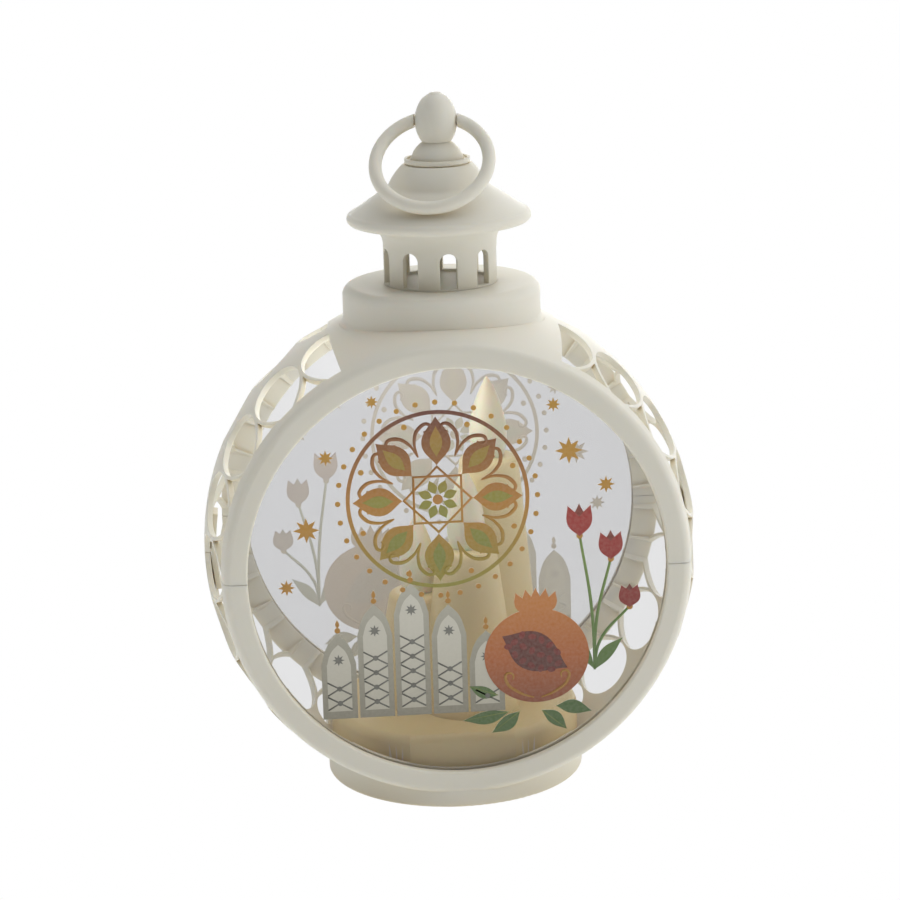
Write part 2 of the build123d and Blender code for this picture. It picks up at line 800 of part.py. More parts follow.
# Base plate with the cell box, the switch slot and the door's seat
door_length = cell_bay_length + 2 * door_margin
door_width = cell_bay_width + 2 * door_side_margin
with BuildPart() as base_plate:
    with BuildSketch(Plane.XY.offset(plate_recess)):
        Circle(foot_radius - foot_wall - plate_play)
    extrude(amount=plate_thickness)
    with BuildSketch(Plane.XY.offset(plate_top)):
        Rectangle(cell_bay_length + 2 * box_wall, cell_bay_width + 2 * box_wall)
    extrude(amount=box_top - plate_top)
    with BuildSketch(Plane.XY.offset(plate_recess)):
        Rectangle(cell_bay_length, cell_bay_width)
    extrude(amount=cell_bay_top - plate_recess, mode=Mode.SUBTRACT)
    with BuildSketch(Plane.XY.offset(plate_recess)):
        Rectangle(door_length + 2 * door_play, door_width + 2 * door_play)
    extrude(amount=door_thickness + door_play, mode=Mode.SUBTRACT)
    with BuildSketch(Plane.XY.offset(plate_recess)):
        with Locations((switch_x, switch_y)):
            Rectangle(knob_size[0] + 2 * slider_play, knob_size[1] + switch_travel + 2 * slider_play)
    extrude(amount=plate_thickness, mode=Mode.SUBTRACT)
    with BuildSketch(Plane.XY.offset(plate_recess)):
        with Locations((frame_screw_x, 0), (-frame_screw_x, 0), *candle_screws):
            Circle(screw_head_radius + screw_boss_gap)
    extrude(amount=screw_head_height, mode=Mode.SUBTRACT)
    with BuildSketch(Plane.XY.offset(plate_recess)):
        with Locations((frame_screw_x, 0), (-frame_screw_x, 0), *candle_screws):
            Circle(screw_hole_radius)
    extrude(amount=plate_thickness, mode=Mode.SUBTRACT)
base_plate.part.label = "base_plate"
export_step(base_plate.part, "parts/base_plate.step")

# Battery door, hinged on its left end
with BuildPart() as battery_door:
    with BuildSketch(Plane.XY.offset(plate_recess)):
        Rectangle(door_length, door_width)
    extrude(amount=door_thickness)
    # Grip grooves at the free end
    with BuildSketch(Plane.XY.offset(plate_recess)):
        for i in range(door_groove_count):
            with Locations((door_length / 2 - door_groove_margin - i * door_groove_pitch, 0)):
                Rectangle(*door_groove)
    extrude(amount=door_groove_depth, mode=Mode.SUBTRACT)
battery_door.part.label = "battery_door"
export_step(battery_door.part, "parts/battery_door.step")

# Base screws: pan heads in the plate
with BuildPart() as base_screws:
    spots = [(frame_screw_x, 0), (-frame_screw_x, 0), *candle_screws]
    with BuildSketch(Plane.XY.offset(plate_recess)):
        with Locations(*spots):
            Circle(screw_head_radius)
    extrude(amount=screw_head_height)
    with BuildSketch(Plane.XY.offset(screw_seat)):
        with Locations(*spots):
            Circle(screw_shank_radius)
    extrude(amount=screw_length)
    with BuildSketch(Plane.XY.offset(plate_recess)):
        with Locations(*spots):
            Rectangle(screw_recess_length, screw_recess_width)
            Rectangle(screw_recess_width, screw_recess_length)
    extrude(amount=screw_recess_depth, mode=Mode.SUBTRACT)
base_screws.part.label = "base_screws"
export_step(base_screws.part, "parts/base_screws.step")

# Button cells, stacked along X against the flat contact
cell_start = -cell_bay_length / 2 + contact_thickness
with BuildPart() as button_cells:
    for i in range(cell_count):
        with BuildSketch(Plane.YZ.offset(cell_start + i * cell_thickness)):
            with Locations((0, cell_axis_z)):
                Circle(cell_radius)
        extrude(amount=cell_thickness - cell_gap)
button_cells.part.label = "button_cells"
export_step(button_cells.part, "parts/button_cells.step")

# Contacts: a flat plate at one end, a bent leaf at the other
with BuildPart() as flat_contact:
    with BuildSketch(Plane.YZ.offset(-cell_bay_length / 2)):
        with Locations((0, cell_axis_z)):
            Rectangle(contact_width, contact_width)
    extrude(amount=contact_thickness)
flat_contact.part.label = "flat_contact"
export_step(flat_contact.part, "parts/flat_contact.step")

with BuildPart() as leaf_contact:
    leaf_back = cell_bay_length / 2
    leaf_nose = cell_start + cell_count * cell_thickness
    with BuildSketch(Plane.XZ.offset(-contact_width / 2)):
        with BuildLine():
            low = cell_axis_z - contact_width / 2
            high = cell_axis_z + contact_width / 2
            Polyline(
                (leaf_back, low),
                (leaf_back, high),
                (leaf_back - contact_thickness, high),
                (leaf_nose, cell_axis_z + contact_thickness),
                (leaf_nose, cell_axis_z - contact_thickness),
                (leaf_nose + contact_thickness, cell_axis_z - contact_thickness),
                (leaf_nose + contact_thickness, cell_axis_z),
                (leaf_back - contact_thickness, high - 3 * contact_thickness),
                (leaf_back - contact_thickness, low),
                (leaf_back, low),
            )
        make_face()
    extrude(amount=contact_width)
leaf_contact.part.label = "leaf_contact"
export_step(leaf_contact.part, "parts/leaf_contact.step")

# Slide switch: body on the plate, slider with its knob through the slot
with BuildPart() as switch_body:
    with BuildSketch(Plane.XY.offset(plate_top)):
        with Locations((switch_x, switch_y)):
            Rectangle(switch_size[0], switch_size[1])
    extrude(amount=switch_size[2])
    with BuildSketch(Plane.XY.offset(plate_top)):
        with Locations((switch_x, switch_y)):
            Rectangle(switch_pocket[0], switch_pocket[1])
    extrude(amount=switch_pocket[2], mode=Mode.SUBTRACT)
switch_body.part.label = "switch_body"
export_step(switch_body.part, "parts/switch_body.step")

with BuildPart() as switch_slider:
    slider_y = switch_y - switch_travel / 2
    with BuildSketch(Plane.XY.offset(plate_top + slider_play)):
        with Locations((switch_x, slider_y)):
            Rectangle(slider_size[0], slider_size[1])
    extrude(amount=slider_size[2])
    with BuildSketch(Plane.XY.offset(knob_end_z)):
        with Locations((switch_x, slider_y)):
            Rectangle(*knob_size)
    extrude(amount=plate_top + slider_play - knob_end_z)
switch_slider.part.label = "switch_slider"
export_step(switch_slider.part, "parts/switch_slider.step")

# Switch wires, straight up from the switch to the board
with BuildPart() as switch_wires:
    switch_top = plate_top + switch_size[2]
    with BuildSketch(Plane.XY.offset(switch_top)):
        with Locations((switch_x, switch_y - wire_spacing / 2), (switch_x, switch_y + wire_spacing / 2)):
            Circle(wire_radius)
    extrude(amount=box_top - switch_top)
switch_wires.part.label = "switch_wires"
export_step(switch_wires.part, "parts/switch_wires.step")
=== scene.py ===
import math

import bmesh
import bpy
from mathutils import Matrix, Vector


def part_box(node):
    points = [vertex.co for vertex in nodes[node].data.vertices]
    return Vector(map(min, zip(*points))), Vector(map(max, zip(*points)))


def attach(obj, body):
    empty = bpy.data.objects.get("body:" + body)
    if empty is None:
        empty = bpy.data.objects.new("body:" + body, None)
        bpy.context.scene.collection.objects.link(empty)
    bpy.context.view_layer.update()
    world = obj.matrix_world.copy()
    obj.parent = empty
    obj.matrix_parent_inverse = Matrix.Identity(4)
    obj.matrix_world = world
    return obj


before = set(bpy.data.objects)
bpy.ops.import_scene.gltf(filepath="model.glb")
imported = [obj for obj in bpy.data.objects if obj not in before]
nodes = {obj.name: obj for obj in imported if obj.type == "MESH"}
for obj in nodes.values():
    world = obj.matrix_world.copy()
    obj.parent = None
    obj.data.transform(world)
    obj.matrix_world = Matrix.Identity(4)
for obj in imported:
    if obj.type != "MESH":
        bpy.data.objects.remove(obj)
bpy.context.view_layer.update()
mm = 0.001
print("frame loaded:", len(nodes), "nodes")


# materials: small helpers

def hexLinear(code):
    channels = [int(code[i:i + 2], 16) / 255 for i in (0, 2, 4)]
    linear = [c / 12.92 if c <= 0.04045 else ((c + 0.055) / 1.055) ** 2.4 for c in channels]
    return (*linear, 1.0)


def addNode(tree, kind, settings, links):
    node = tree.nodes.new("ShaderNode" + kind)
    for key, value in settings.items():
        if isinstance(key, int) or key in node.inputs:
            node.inputs[key].default_value = value
        else:
            setattr(node, key, value)
    for key, source in links.items():
        tree.links.new(source, node.inputs[key])
    return node


def startMaterial(name):
    material = bpy.data.materials.new(name)
    material.use_nodes = True
    material.node_tree.nodes.clear()
    return material, material.node_tree


def perMm(sizeMm):
    return 1 / (sizeMm * mm)  # texture scale for a feature of this size, Object coordinates in metres


def closeMaterial(tree, shader):
    addNode(tree, "OutputMaterial", {}, {"Surface": shader.outputs[0]})


# cream ABS, injection moulded: satin skin, faint cloudiness, soft edges, and a warmer painted shade in the
# corners from ambient occlusion
creamAbs = {
    "light": "E4E2D8",
    "dark": "DCD9CD",
    "corner": "C6AC74",
    "cloudMm": 34,
    "grainMm": 0.5,  # the real spark texture is finer, drawn as coarse as it needs to show
    "grainBump": 0.035,
    "grainBumpMm": 0.1,
    "edgeMm": 0.35,
    "cornerMm": 10,
    "cornerShare": 0.3,
    "cornerFrom": (0.25, 0.85),  # how open a spot is where the painted shade is full and where it ends
    "roughness": (0.50, 0.62),
    "ior": 1.5,
    "shine": 0.18,
    "glow": 0.4,
    "glowMm": 2.0,
    "glowSpread": (1.0, 0.85, 0.6),
}


def makeCreamAbs(name, look):
    material, tree = startMaterial(name)
    place = addNode(tree, "TexCoord", {}, {}).outputs["Object"]
    cloud = addNode(tree, "TexNoise", {"Scale": perMm(look["cloudMm"]), "Detail": 3.0}, {"Vector": place})
    tone = addNode(tree, "Mix",
                   {"data_type": "RGBA", 6: hexLinear(look["light"]), 7: hexLinear(look["dark"])},
                   {0: cloud.outputs["Fac"]})
    # painted shade: ambient occlusion mixes a warm, darker tone into corners, creases and recesses
    nook = addNode(tree, "AmbientOcclusion", {"samples": 6, "Distance": look["cornerMm"] * mm}, {})
    deep, clear = look["cornerFrom"]
    depth = addNode(tree, "MapRange",
                    {"From Min": deep, "From Max": clear, "To Min": look["cornerShare"], "To Max": 0.0},
                    {"Value": nook.outputs["AO"]})
    color = addNode(tree, "Mix", {"data_type": "RGBA", 7: hexLinear(look["corner"])},
                    {0: depth.outputs[0], 6: tone.outputs[2]})
    grain = addNode(tree, "TexNoise", {"Scale": perMm(look["grainMm"]), "Detail": 2.0}, {"Vector": place})
    low, high = look["roughness"]
    rough = addNode(tree, "MapRange", {"To Min": low, "To Max": high}, {"Value": grain.outputs["Fac"]})
    edge = addNode(tree, "Bevel", {"samples": 6, "Radius": look["edgeMm"] * mm}, {})
    bump = addNode(tree, "Bump", {"Strength": look["grainBump"], "Distance": look["grainBumpMm"] * mm},
                   {"Height": grain.outputs["Fac"], "Normal": edge.outputs[0]})
    shader = addNode(tree, "BsdfPrincipled",
                     {"IOR": look["ior"], "Specular IOR Level": look["shine"],
                      "Subsurface Weight": look["glow"], "Subsurface Scale": look["glowMm"] * mm,
                      "Subsurface Radius": look["glowSpread"]},
                     {"Base Color": color.outputs[2], "Roughness": rough.outputs[0],
                      "Normal": bump.outputs[0]})
    closeMaterial(tree, shader)
    return material


# clear PET sheet, die cut: a faint grey veil, wiped streaks in the gloss
clearPet = {
    "veil": "81838F",
    "alpha": 0.15,
    "streakMm": (90, 3),
    "streakTurn": 0.6,
    "roughness": (0.06, 0.16),
    "ior": 1.57,
}


def makeClearPet(name, look):
    material, tree = startMaterial(name)
    place = addNode(tree, "TexCoord", {}, {}).outputs["Object"]
    wide, fine = look["streakMm"]
    stretch = addNode(tree, "Mapping",
                      {"Scale": (perMm(wide), perMm(wide), perMm(fine)),
                       "Rotation": (0, look["streakTurn"], 0)},
                      {"Vector": place})
    streak = addNode(tree, "TexNoise", {"Scale": 1.0, "Detail": 2.0}, {"Vector": stretch.outputs[0]})
    low, high = look["roughness"]
    rough = addNode(tree, "MapRange", {"To Min": low, "To Max": high}, {"Value": streak.outputs["Fac"]})
    shader = addNode(tree, "BsdfPrincipled",
                     {"Base Color": hexLinear(look["veil"]), "Alpha": look["alpha"], "IOR": look["ior"]},
                     {"Roughness": rough.outputs[0]})
    closeMaterial(tree, shader)
    material.surface_render_method = "BLENDED"
    return material


# candle body, wax-coloured PP, moulded: silky, lets a little light in, darker towards the bottom and paler
# towards the top
waxPp = {
    "low": "D6BF86",
    "high": "EDDCAC",
    "fromMm": 10,
    "toMm": 92,
    "rippleMm": 9,
    "ripple": 0.12,
    "rippleBump": 0.12,
    "rippleBumpMm": 0.4,
    "roughness": 0.45,
    "ior": 1.49,
    "glow": 0.15,
    "glowMm": 2,
}


def makeWaxPp(name, look):
    material, tree = startMaterial(name)
    place = addNode(tree, "TexCoord", {}, {}).outputs["Object"]
    split = addNode(tree, "SeparateXYZ", {}, {"Vector": place})
    climb = addNode(tree, "MapRange", {"From Min": look["fromMm"] * mm, "From Max": look["toMm"] * mm},
                    {"Value": split.outputs["Z"]})
    ripple = addNode(tree, "TexNoise", {"Scale": perMm(look["rippleMm"]), "Detail": 2.0}, {"Vector": place})
    shift = addNode(tree, "MapRange", {"To Min": -look["ripple"], "To Max": look["ripple"]},
                    {"Value": ripple.outputs["Fac"]})
    height = addNode(tree, "Math", {"operation": "ADD", "use_clamp": True},
                     {0: climb.outputs[0], 1: shift.outputs[0]})
    color = addNode(tree, "Mix",
                    {"data_type": "RGBA", 6: hexLinear(look["low"]), 7: hexLinear(look["high"])},
                    {0: height.outputs[0]})
    bump = addNode(tree, "Bump", {"Strength": look["rippleBump"], "Distance": look["rippleBumpMm"] * mm},
                   {"Height": ripple.outputs["Fac"]})
    shader = addNode(tree, "BsdfPrincipled",
                     {"Roughness": look["roughness"], "IOR": look["ior"], "Subsurface Weight": look["glow"],
                      "Subsurface Scale": look["glowMm"] * mm},
                     {"Base Color": color.outputs[2], "Normal": bump.outputs[0]})
    closeMaterial(tree, shader)
    return material


# one moulded or drawn finish with a mottle in colour and roughness; used for what sits inside and below
plainFinishes = {
    "milkyFlamePe": {"light": "F1EDDA", "dark": "E4DFC4", "mottleMm": 7, "roughness": (0.28, 0.4),
                     "glow": 0.6},
    "ledResin": {"light": "F4EBCB", "dark": "EADFB4", "mottleMm": 2, "roughness": (0.08, 0.15), "glow": 0.2},
    "wirePvc": {"light": "A3221B", "dark": "8C1713", "mottleMm": 3, "roughness": (0.35, 0.5)},
    "boardFr4": {"light": "2E7042", "dark": "1E5A33", "mottleMm": 1.6, "roughness": (0.4, 0.6)},
    "screwSteel": {"light": "B9B9B6", "dark": "8F8F8C", "mottleMm": 0.6, "roughness": (0.25, 0.4),
                   "metal": 1.0},
    "cellSteel": {"light": "CFCFCB", "dark": "B4B4B0", "mottleMm": 1.2, "roughness": (0.18, 0.3),
                  "metal": 1.0},
    "switchNylon": {"light": "2A2A2A", "dark": "1B1B1B", "mottleMm": 0.8, "roughness": (0.5, 0.65)},
}
plainGlowMm = 4


def makePlainFinish(name, look):
    material, tree = startMaterial(name)
    place = addNode(tree, "TexCoord", {}, {}).outputs["Object"]
    mottle = addNode(tree, "TexNoise", {"Scale": perMm(look["mottleMm"]), "Detail": 3.0}, {"Vector": place})
    color = addNode(tree, "Mix",
                    {"data_type": "RGBA", 6: hexLinear(look["light"]), 7: hexLinear(look["dark"])},
                    {0: mottle.outputs["Fac"]})
    low, high = look["roughness"]
    rough = addNode(tree, "MapRange", {"To Min": low, "To Max": high}, {"Value": mottle.outputs["Fac"]})
    shader = addNode(tree, "BsdfPrincipled",
                     {"Metallic": look.get("metal", 0.0), "Subsurface Weight": look.get("glow", 0.0),
                      "Subsurface Scale": plainGlowMm * mm},
                     {"Base Color": color.outputs[2], "Roughness": rough.outputs[0]})
    closeMaterial(tree, shader)
    return material


nodeFinish = {
    "creamAbs": ("upper_frame", "lower_frame", "arcade", "roof", "finial", "handle_ring", "base_plate",
                 "battery_door"),
    "clearPet": ("front_pane", "rear_pane"),
    "waxPp": ("candle_group",),
    "milkyFlamePe": ("flame_tall", "flame_medium", "flame_short"),
    "ledResin": ("leds",),
    "wirePvc": ("led_wires", "switch_wires"),
    "boardFr4": ("led_board",),
    "screwSteel": ("base_screws",),
    "cellSteel": ("button_cells", "flat_contact", "leaf_contact"),
    "switchNylon": ("switch_body", "switch_slider"),
}
finishes = {name: makePlainFinish(name, look) for name, look in plainFinishes.items()}
finishes["creamAbs"] = makeCreamAbs("creamAbs", creamAbs)
finishes["clearPet"] = makeClearPet("clearPet", clearPet)
finishes["waxPp"] = makeWaxPp("waxPp", waxPp)
for finish, names in nodeFinish.items():
    for name in names:
        nodes[name].data.materials.clear()
        nodes[name].data.materials.append(finishes[finish])

# the pedestal is moulded with the lower frame but has the candles' colour: its faces lie inside this drum
pedestal = {"radiusMm": 35.6, "halfDepthMm": 32.35, "heightMm": (10.6, 20.0)}
lowerFrame = nodes["lower_frame"].data
lowerFrame.materials.append(finishes["waxPp"])
for face in lowerFrame.polygons:
    x, y, z = face.center / mm
    low, high = pedestal["heightMm"]
    inside = math.hypot(x, y) < pedestal["radiusMm"] and abs(y) < pedestal["halfDepthMm"] and low < z < high
    face.material_index = 1 if inside else 0
print("finishes:", len(finishes))


# the print on the panes: flat inks, drawn in millimetres from the drum's axis, u to the right and w up
inks = {
    "inkStone": {"layer": 0, "top": "B9B7AA", "middle": "9D9A8C", "low": "827E70", "spanMm": (-42, 0)},
    "inkStonePale": {"layer": 1, "top": "D3D1C5", "middle": "C6C3B6", "low": "B1AD9E", "spanMm": (-42, 0)},
    "inkStoneDark": {"layer": 2, "top": "7C7C76", "middle": "6A6A64", "low": "585852", "spanMm": (-42, 0)},
    "inkUmberGold": {"layer": 1, "top": "64220D", "middle": "B37A22", "low": "84841F", "spanMm": (-6, 46)},
    "inkOlive": {"layer": 2, "top": "A9761F", "middle": "8E8A2C", "low": "6F7A2E", "spanMm": (-6, 46)},
    "inkLeaf": {"layer": 2, "top": "6F8B3C", "middle": "54752F", "low": "3E5D26", "spanMm": (-40, 5)},
    "inkOrange": {"layer": 3, "top": "BE7630", "middle": "A8591F", "low": "773312", "spanMm": (-40, -10)},
    "inkGold": {"layer": 4, "top": "BE8D1E", "middle": "B27E18", "low": "9A690F", "spanMm": (-40, 50)},
    "inkSeed": {"layer": 4, "top": "7C2411", "middle": "62180C", "low": "470F06", "spanMm": (-36, 14)},
    "inkRed": {"layer": 5, "top": "9E1D15", "middle": "84130B", "low": "640C06", "spanMm": (-30, 14)},
}
printLook = {
    "dotMm": 0.9,
    "fleck": 0.12,
    "pale": "F3F0E2",
    "paleShare": 0.78,
    # the underside inks glow with painted light, in place of light shining through the film from behind
    "paintedBacklight": 0.25,
    "roughness": 0.38,
    "ior": 1.5,
    "layers": 6,
    "layerMm": 0.03,
    "inkMm": 0.015,
    "lifts": 7,  # overlapping shapes of one ink lie at slightly different heights
    "liftMm": 0.002,
    "mergeMm": 0.001,
}
inkOrder = list(inks)
frontLow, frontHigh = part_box("front_pane")
drumAxisZ = (frontLow.z + frontHigh.z) / 2
paneFace = -frontLow.y  # both panes stand this far from the middle


def makeInk(name, look, pale):
    # screen ink on film: even, half gloss, a slight grain of dots; from behind only its washed-out underside
    material, tree = startMaterial(name)
    place = addNode(tree, "TexCoord", {}, {}).outputs["Object"]
    split = addNode(tree, "SeparateXYZ", {}, {"Vector": place})
    low, high = (drumAxisZ + edge * mm for edge in look["spanMm"])
    along = addNode(tree, "MapRange", {"From Min": low, "From Max": high}, {"Value": split.outputs["Z"]})
    ramp = addNode(tree, "ValToRGB", {}, {"Fac": along.outputs[0]})
    stops = ramp.color_ramp.elements
    stops.new(0.5)
    for stop, key in zip(stops, ("low", "middle", "top")):
        stop.color = hexLinear(look[key])
    dots = addNode(tree, "TexNoise", {"Scale": perMm(printLook["dotMm"]), "Detail": 1.0}, {"Vector": place})
    fleck = addNode(tree, "MapRange", {"To Min": 0.0, "To Max": printLook["fleck"]},
                    {"Value": dots.outputs["Fac"]})
    color = addNode(tree, "Mix", {"data_type": "RGBA", 7: hexLinear(printLook["pale"])},
                    {0: fleck.outputs[0], 6: ramp.outputs[0]})
    if pale:
        color = addNode(tree, "Mix",
                        {"data_type": "RGBA", 0: printLook["paleShare"], 7: hexLinear(printLook["pale"])},
                        {6: color.outputs[2]})
    # painted light: the underside inks emit their own pale colour, standing in for light shining through the
    # film from behind
    shader = addNode(tree, "BsdfPrincipled",
                     {"Roughness": printLook["roughness"], "IOR": printLook["ior"],
                      "Emission Strength": printLook["paintedBacklight"] if pale else 0.0},
                     {"Base Color": color.outputs[2], "Emission Color": color.outputs[2]})
    closeMaterial(tree, shader)
    return material


class Sheet:
    # one print: flat shapes gathered in a bmesh, each its own thin plate with its ink
    def __init__(self, pale):
        self.bm = bmesh.new()
        self.pale = pale
        self.count = 0

    def faces(self):
        return set(self.bm.faces)

    def take(self, before, ink):
        fresh = [f for f in self.bm.faces if f not in before]
        corners = {v for f in fresh for v in f.verts}
        bmesh.ops.remove_doubles(self.bm, verts=list(corners), dist=printLook["mergeMm"])
        fresh = [f for f in self.bm.faces if f not in before]
        self.bm.normal_update()
        bmesh.ops.reverse_faces(self.bm, faces=[f for f in fresh if f.normal.z < 0])
        layer = inks[ink]["layer"]
        rank = printLook["layers"] - layer if self.pale else printLook["layers"] + 1 + layer
        height = rank * printLook["layerMm"] + (self.count % printLook["lifts"]) * printLook["liftMm"]
        bmesh.ops.translate(self.bm, verts=list({v for f in fresh for v in f.verts}), vec=(0, 0, height))
        for face in fresh:
            face.material_index = inkOrder.index(ink)
        self.count += 1

    def disc(self, ink, u, w, radius, steps=24, squeeze=1.0, turn=0.0):
        before = self.faces()
        squash = Matrix.Diagonal((1, squeeze, 1, 1))
        place = Matrix.Translation((u, w, 0)) @ Matrix.Rotation(turn, 4, "Z") @ squash
        bmesh.ops.create_circle(self.bm, cap_ends=True, segments=steps, radius=radius, matrix=place)
        self.take(before, ink)

    def star(self, ink, u, w, radius, points=8, waist=0.48, turn=0.0):
        before = self.faces()
        place = Matrix.Translation((u, w, 0)) @ Matrix.Rotation(turn, 4, "Z")
        made = bmesh.ops.create_circle(self.bm, cap_ends=True, segments=2 * points, radius=radius,
                                       matrix=place)
        bmesh.ops.scale(self.bm, verts=made["verts"][1::2], vec=(waist, waist, 1),
                        space=Matrix.Translation((-u, -w, 0)))
        self.take(before, ink)

    def ring(self, ink, u, w, outer, inner, steps=96):
        before = self.faces()
        edges = []
        for radius in (outer, inner):
            made = bmesh.ops.create_circle(self.bm, segments=steps, radius=radius,
                                           matrix=Matrix.Translation((u, w, 0)))
            edges += list({e for v in made["verts"] for e in v.link_edges})
        bmesh.ops.bridge_loops(self.bm, edges=edges)
        self.take(before, ink)

    def curve(self, ink, lines, fill, width=0.0):
        # lines: lists of (u, w) or (u, w, share of the width); corners keep sharp where a fourth item says so
        before = self.faces()
        data = bpy.data.curves.new("inkLine", "CURVE")
        data.dimensions = "2D" if fill else "3D"
        data.fill_mode = "BOTH" if fill else "FULL"
        data.resolution_u = 8
        data.extrude = width / 2
        for points in lines:
            closed = fill or points[0] == points[-1]
            points = points if points[0] != points[-1] else points[:-1]
            spline = data.splines.new("BEZIER")
            spline.bezier_points.add(len(points) - 1)
            spline.use_cyclic_u = closed
            for knot, point in zip(spline.bezier_points, points):
                knot.co = (point[0], point[1], 0)
                sharp = len(point) > 3
                knot.handle_left_type = knot.handle_right_type = "VECTOR" if sharp else "AUTO"
                knot.radius = point[2] if len(point) > 2 else 1.0
                knot.tilt = 0.0 if fill else math.pi / 2
        holder = bpy.data.objects.new("inkLine", data)
        mesh = bpy.data.meshes.new_from_object(holder)
        self.bm.from_mesh(mesh)
        bpy.data.objects.remove(holder)
        bpy.data.curves.remove(data)
        bpy.data.meshes.remove(mesh)
        self.take(before, ink)

    def leaf(self, ink, start, end, belly, bend=0.0):
        # a pointed oval from start to end
        run = Vector(end) - Vector(start)
        side = Vector((-run.y, run.x)).normalized()
        middle = Vector(start) + run * 0.45
        left = middle + side * (belly + bend)
        right = middle - side * (belly - bend)
        self.curve(ink, [[(*start, 1, 1), (*left, 1), (*end, 1, 1), (*right, 1)]], True)

    def stroke(self, ink, points, width):
        self.curve(ink, [points], False, width)


# petals and leaves: from and to radius, belly
rosette = {
    "at": (-5, 21),
    "outer": 25.0,
    "band": 1.1,
    "petals": 8,
    "petal": (9.6, 23.2, 4.0),
    "petalHeart": (12.0, 20.6, 1.7),
    "innerLeaf": (1.6, 5.8, 1.25),
    "squares": (9.2, 0.9),
    "curlWidth": 1.1,
    "curl": ((13.0, 0.0, 0.35), (17.5, 0.05, 0.8), (20.6, 0.17, 1.0), (21.2, 0.3, 0.85), (19.7, 0.31, 0.7),
             (19.2, 0.22, 0.5)),  # radius, turn aside, share of the width
    "beads": 32,
    "bead": (2.2, 0.75),
    "bud": (22.3, 0.8),
    "heart": 1.4,
}
arcade = {
    "left": -38.5,
    "foot": -40.5,
    "width": 10.2,
    "gap": 0.6,
    "frame": 1.5,
    "sill": 2.2,
    "head": 3.0,
    "tops": (-16, -8, -2.5, -9, -17),
    "row": 4.2,
}
fruit = {
    "at": (21, -25),
    "radius": 14.5,
    "crown": (-0.62, -0.3, 0.0, 0.3, 0.62),
    "slit": ((-9.5, 6.0), (8.5, -4.0), 5.6),
    "seeds": 17,
    "seed": 1.15,
}
fruitLeaves = (  # start, end, belly
    ((13, -41), (0, -43), 1.9),
    ((16, -41), (8, -47), 2.0),
    ((26, -40), (36, -42), 2.0),
    ((22, -41), (29, -47), 1.9),
    ((10, -36), (2, -33), 1.7),
)
tulips = {
    "root": (37, -30),
    "heads": ((42, 2, 8), (33.5, 9, 9), (47, -12, 6.5)),
    "petals": ((-0.36, 1.9), (0.36, 1.9), (0.0, 1.8)),
    "leaves": (((30, -14), 1.7), ((45, -21), 1.7), ((33, -19), 1.3)),
}
stars = ((-41, 14, 3.6), (-47, -2, 2.3), (-35, 34, 2.2), (31, 33, 3.8), (41, 23, 2.4), (27, 46, 2.0),
         (-22, 49, 1.8))


def polar(centre, radius, angle):
    return (centre[0] + radius * math.cos(angle), centre[1] + radius * math.sin(angle))


def drawRosette(sheet):
    c = rosette["at"]
    outer = rosette["outer"]
    sheet.ring("inkUmberGold", *c, outer, outer - rosette["band"])
    out, size = rosette["bead"]
    for i in range(rosette["beads"]):
        sheet.disc("inkGold", *polar(c, outer + out, 2 * math.pi * i / rosette["beads"]), size, 12)
    step = 2 * math.pi / rosette["petals"]
    for i in range(rosette["petals"]):
        a = i * step
        for ink, part in (("inkUmberGold", "petal"), ("inkOlive", "petalHeart")):
            start, end, belly = rosette[part]
            sheet.leaf(ink, polar(c, start, a), polar(c, end, a), belly)
        b = a + step / 2
        for way in (1, -1):
            curl = [(*polar(c, out, b + way * aside), share) for out, aside, share in rosette["curl"]]
            sheet.stroke("inkUmberGold", curl, rosette["curlWidth"])
        out, size = rosette["bud"]
        sheet.disc("inkGold", *polar(c, out, b), size, 12)
    corner, width = rosette["squares"]
    for turn in (0, math.pi / 4):
        square = [(*polar(c, corner, turn + k * math.pi / 2), 1, 1) for k in range(4)]
        sheet.stroke("inkUmberGold", [*square, square[0]], width)
    start, end, belly = rosette["innerLeaf"]
    for i in range(rosette["petals"]):
        a = (i + 0.5) * step
        sheet.leaf("inkOlive", polar(c, start, a), polar(c, end, a), belly)
    sheet.disc("inkUmberGold", *c, rosette["heart"])


def archOutline(left, right, foot, top):
    middle = (left + right) / 2
    spring = top - 0.9 * (right - left)
    flank = 0.30 * (right - left)
    return [(left, foot, 1, 1), (left, spring, 1, 1), (middle - flank, top - 0.36 * (top - spring), 1),
            (middle, top, 1, 1), (middle + flank, top - 0.36 * (top - spring), 1), (right, spring, 1, 1),
            (right, foot, 1, 1)]


def drawArcade(sheet):
    width = arcade["width"]
    edge = arcade["frame"]
    row = arcade["row"]
    for i, top in enumerate(arcade["tops"]):
        left = arcade["left"] + i * width
        right = left + width - arcade["gap"]
        foot = arcade["foot"]
        low = foot + arcade["sill"]
        sheet.curve("inkStone", [archOutline(left, right, foot, top)], True)
        sheet.curve("inkStonePale", [archOutline(left + edge, right - edge, low, top - arcade["head"])], True)
        middle = (left + right) / 2
        sheet.star("inkStoneDark", middle, top - 7.5, 1.7)
        reach = 0.5 * (width - 3.6)
        for k in range(int((top - 13 - low) / row)):
            start, end = low + 0.4 + k * row, low + row + k * row
            for way in (1, -1):
                ends = [(middle - way * reach, start, 1, 1), (middle + way * reach, end, 1, 1)]
                sheet.stroke("inkStoneDark", ends, 0.45)
            sheet.disc("inkStoneDark", middle, low + 2.3 + k * row, 0.75, 12)
        sheet.disc("inkGold", middle, top + 1.1, 0.8, 12)
        sheet.leaf("inkGold", (middle, top + 1.6), (middle, top + 4.2), 0.55)


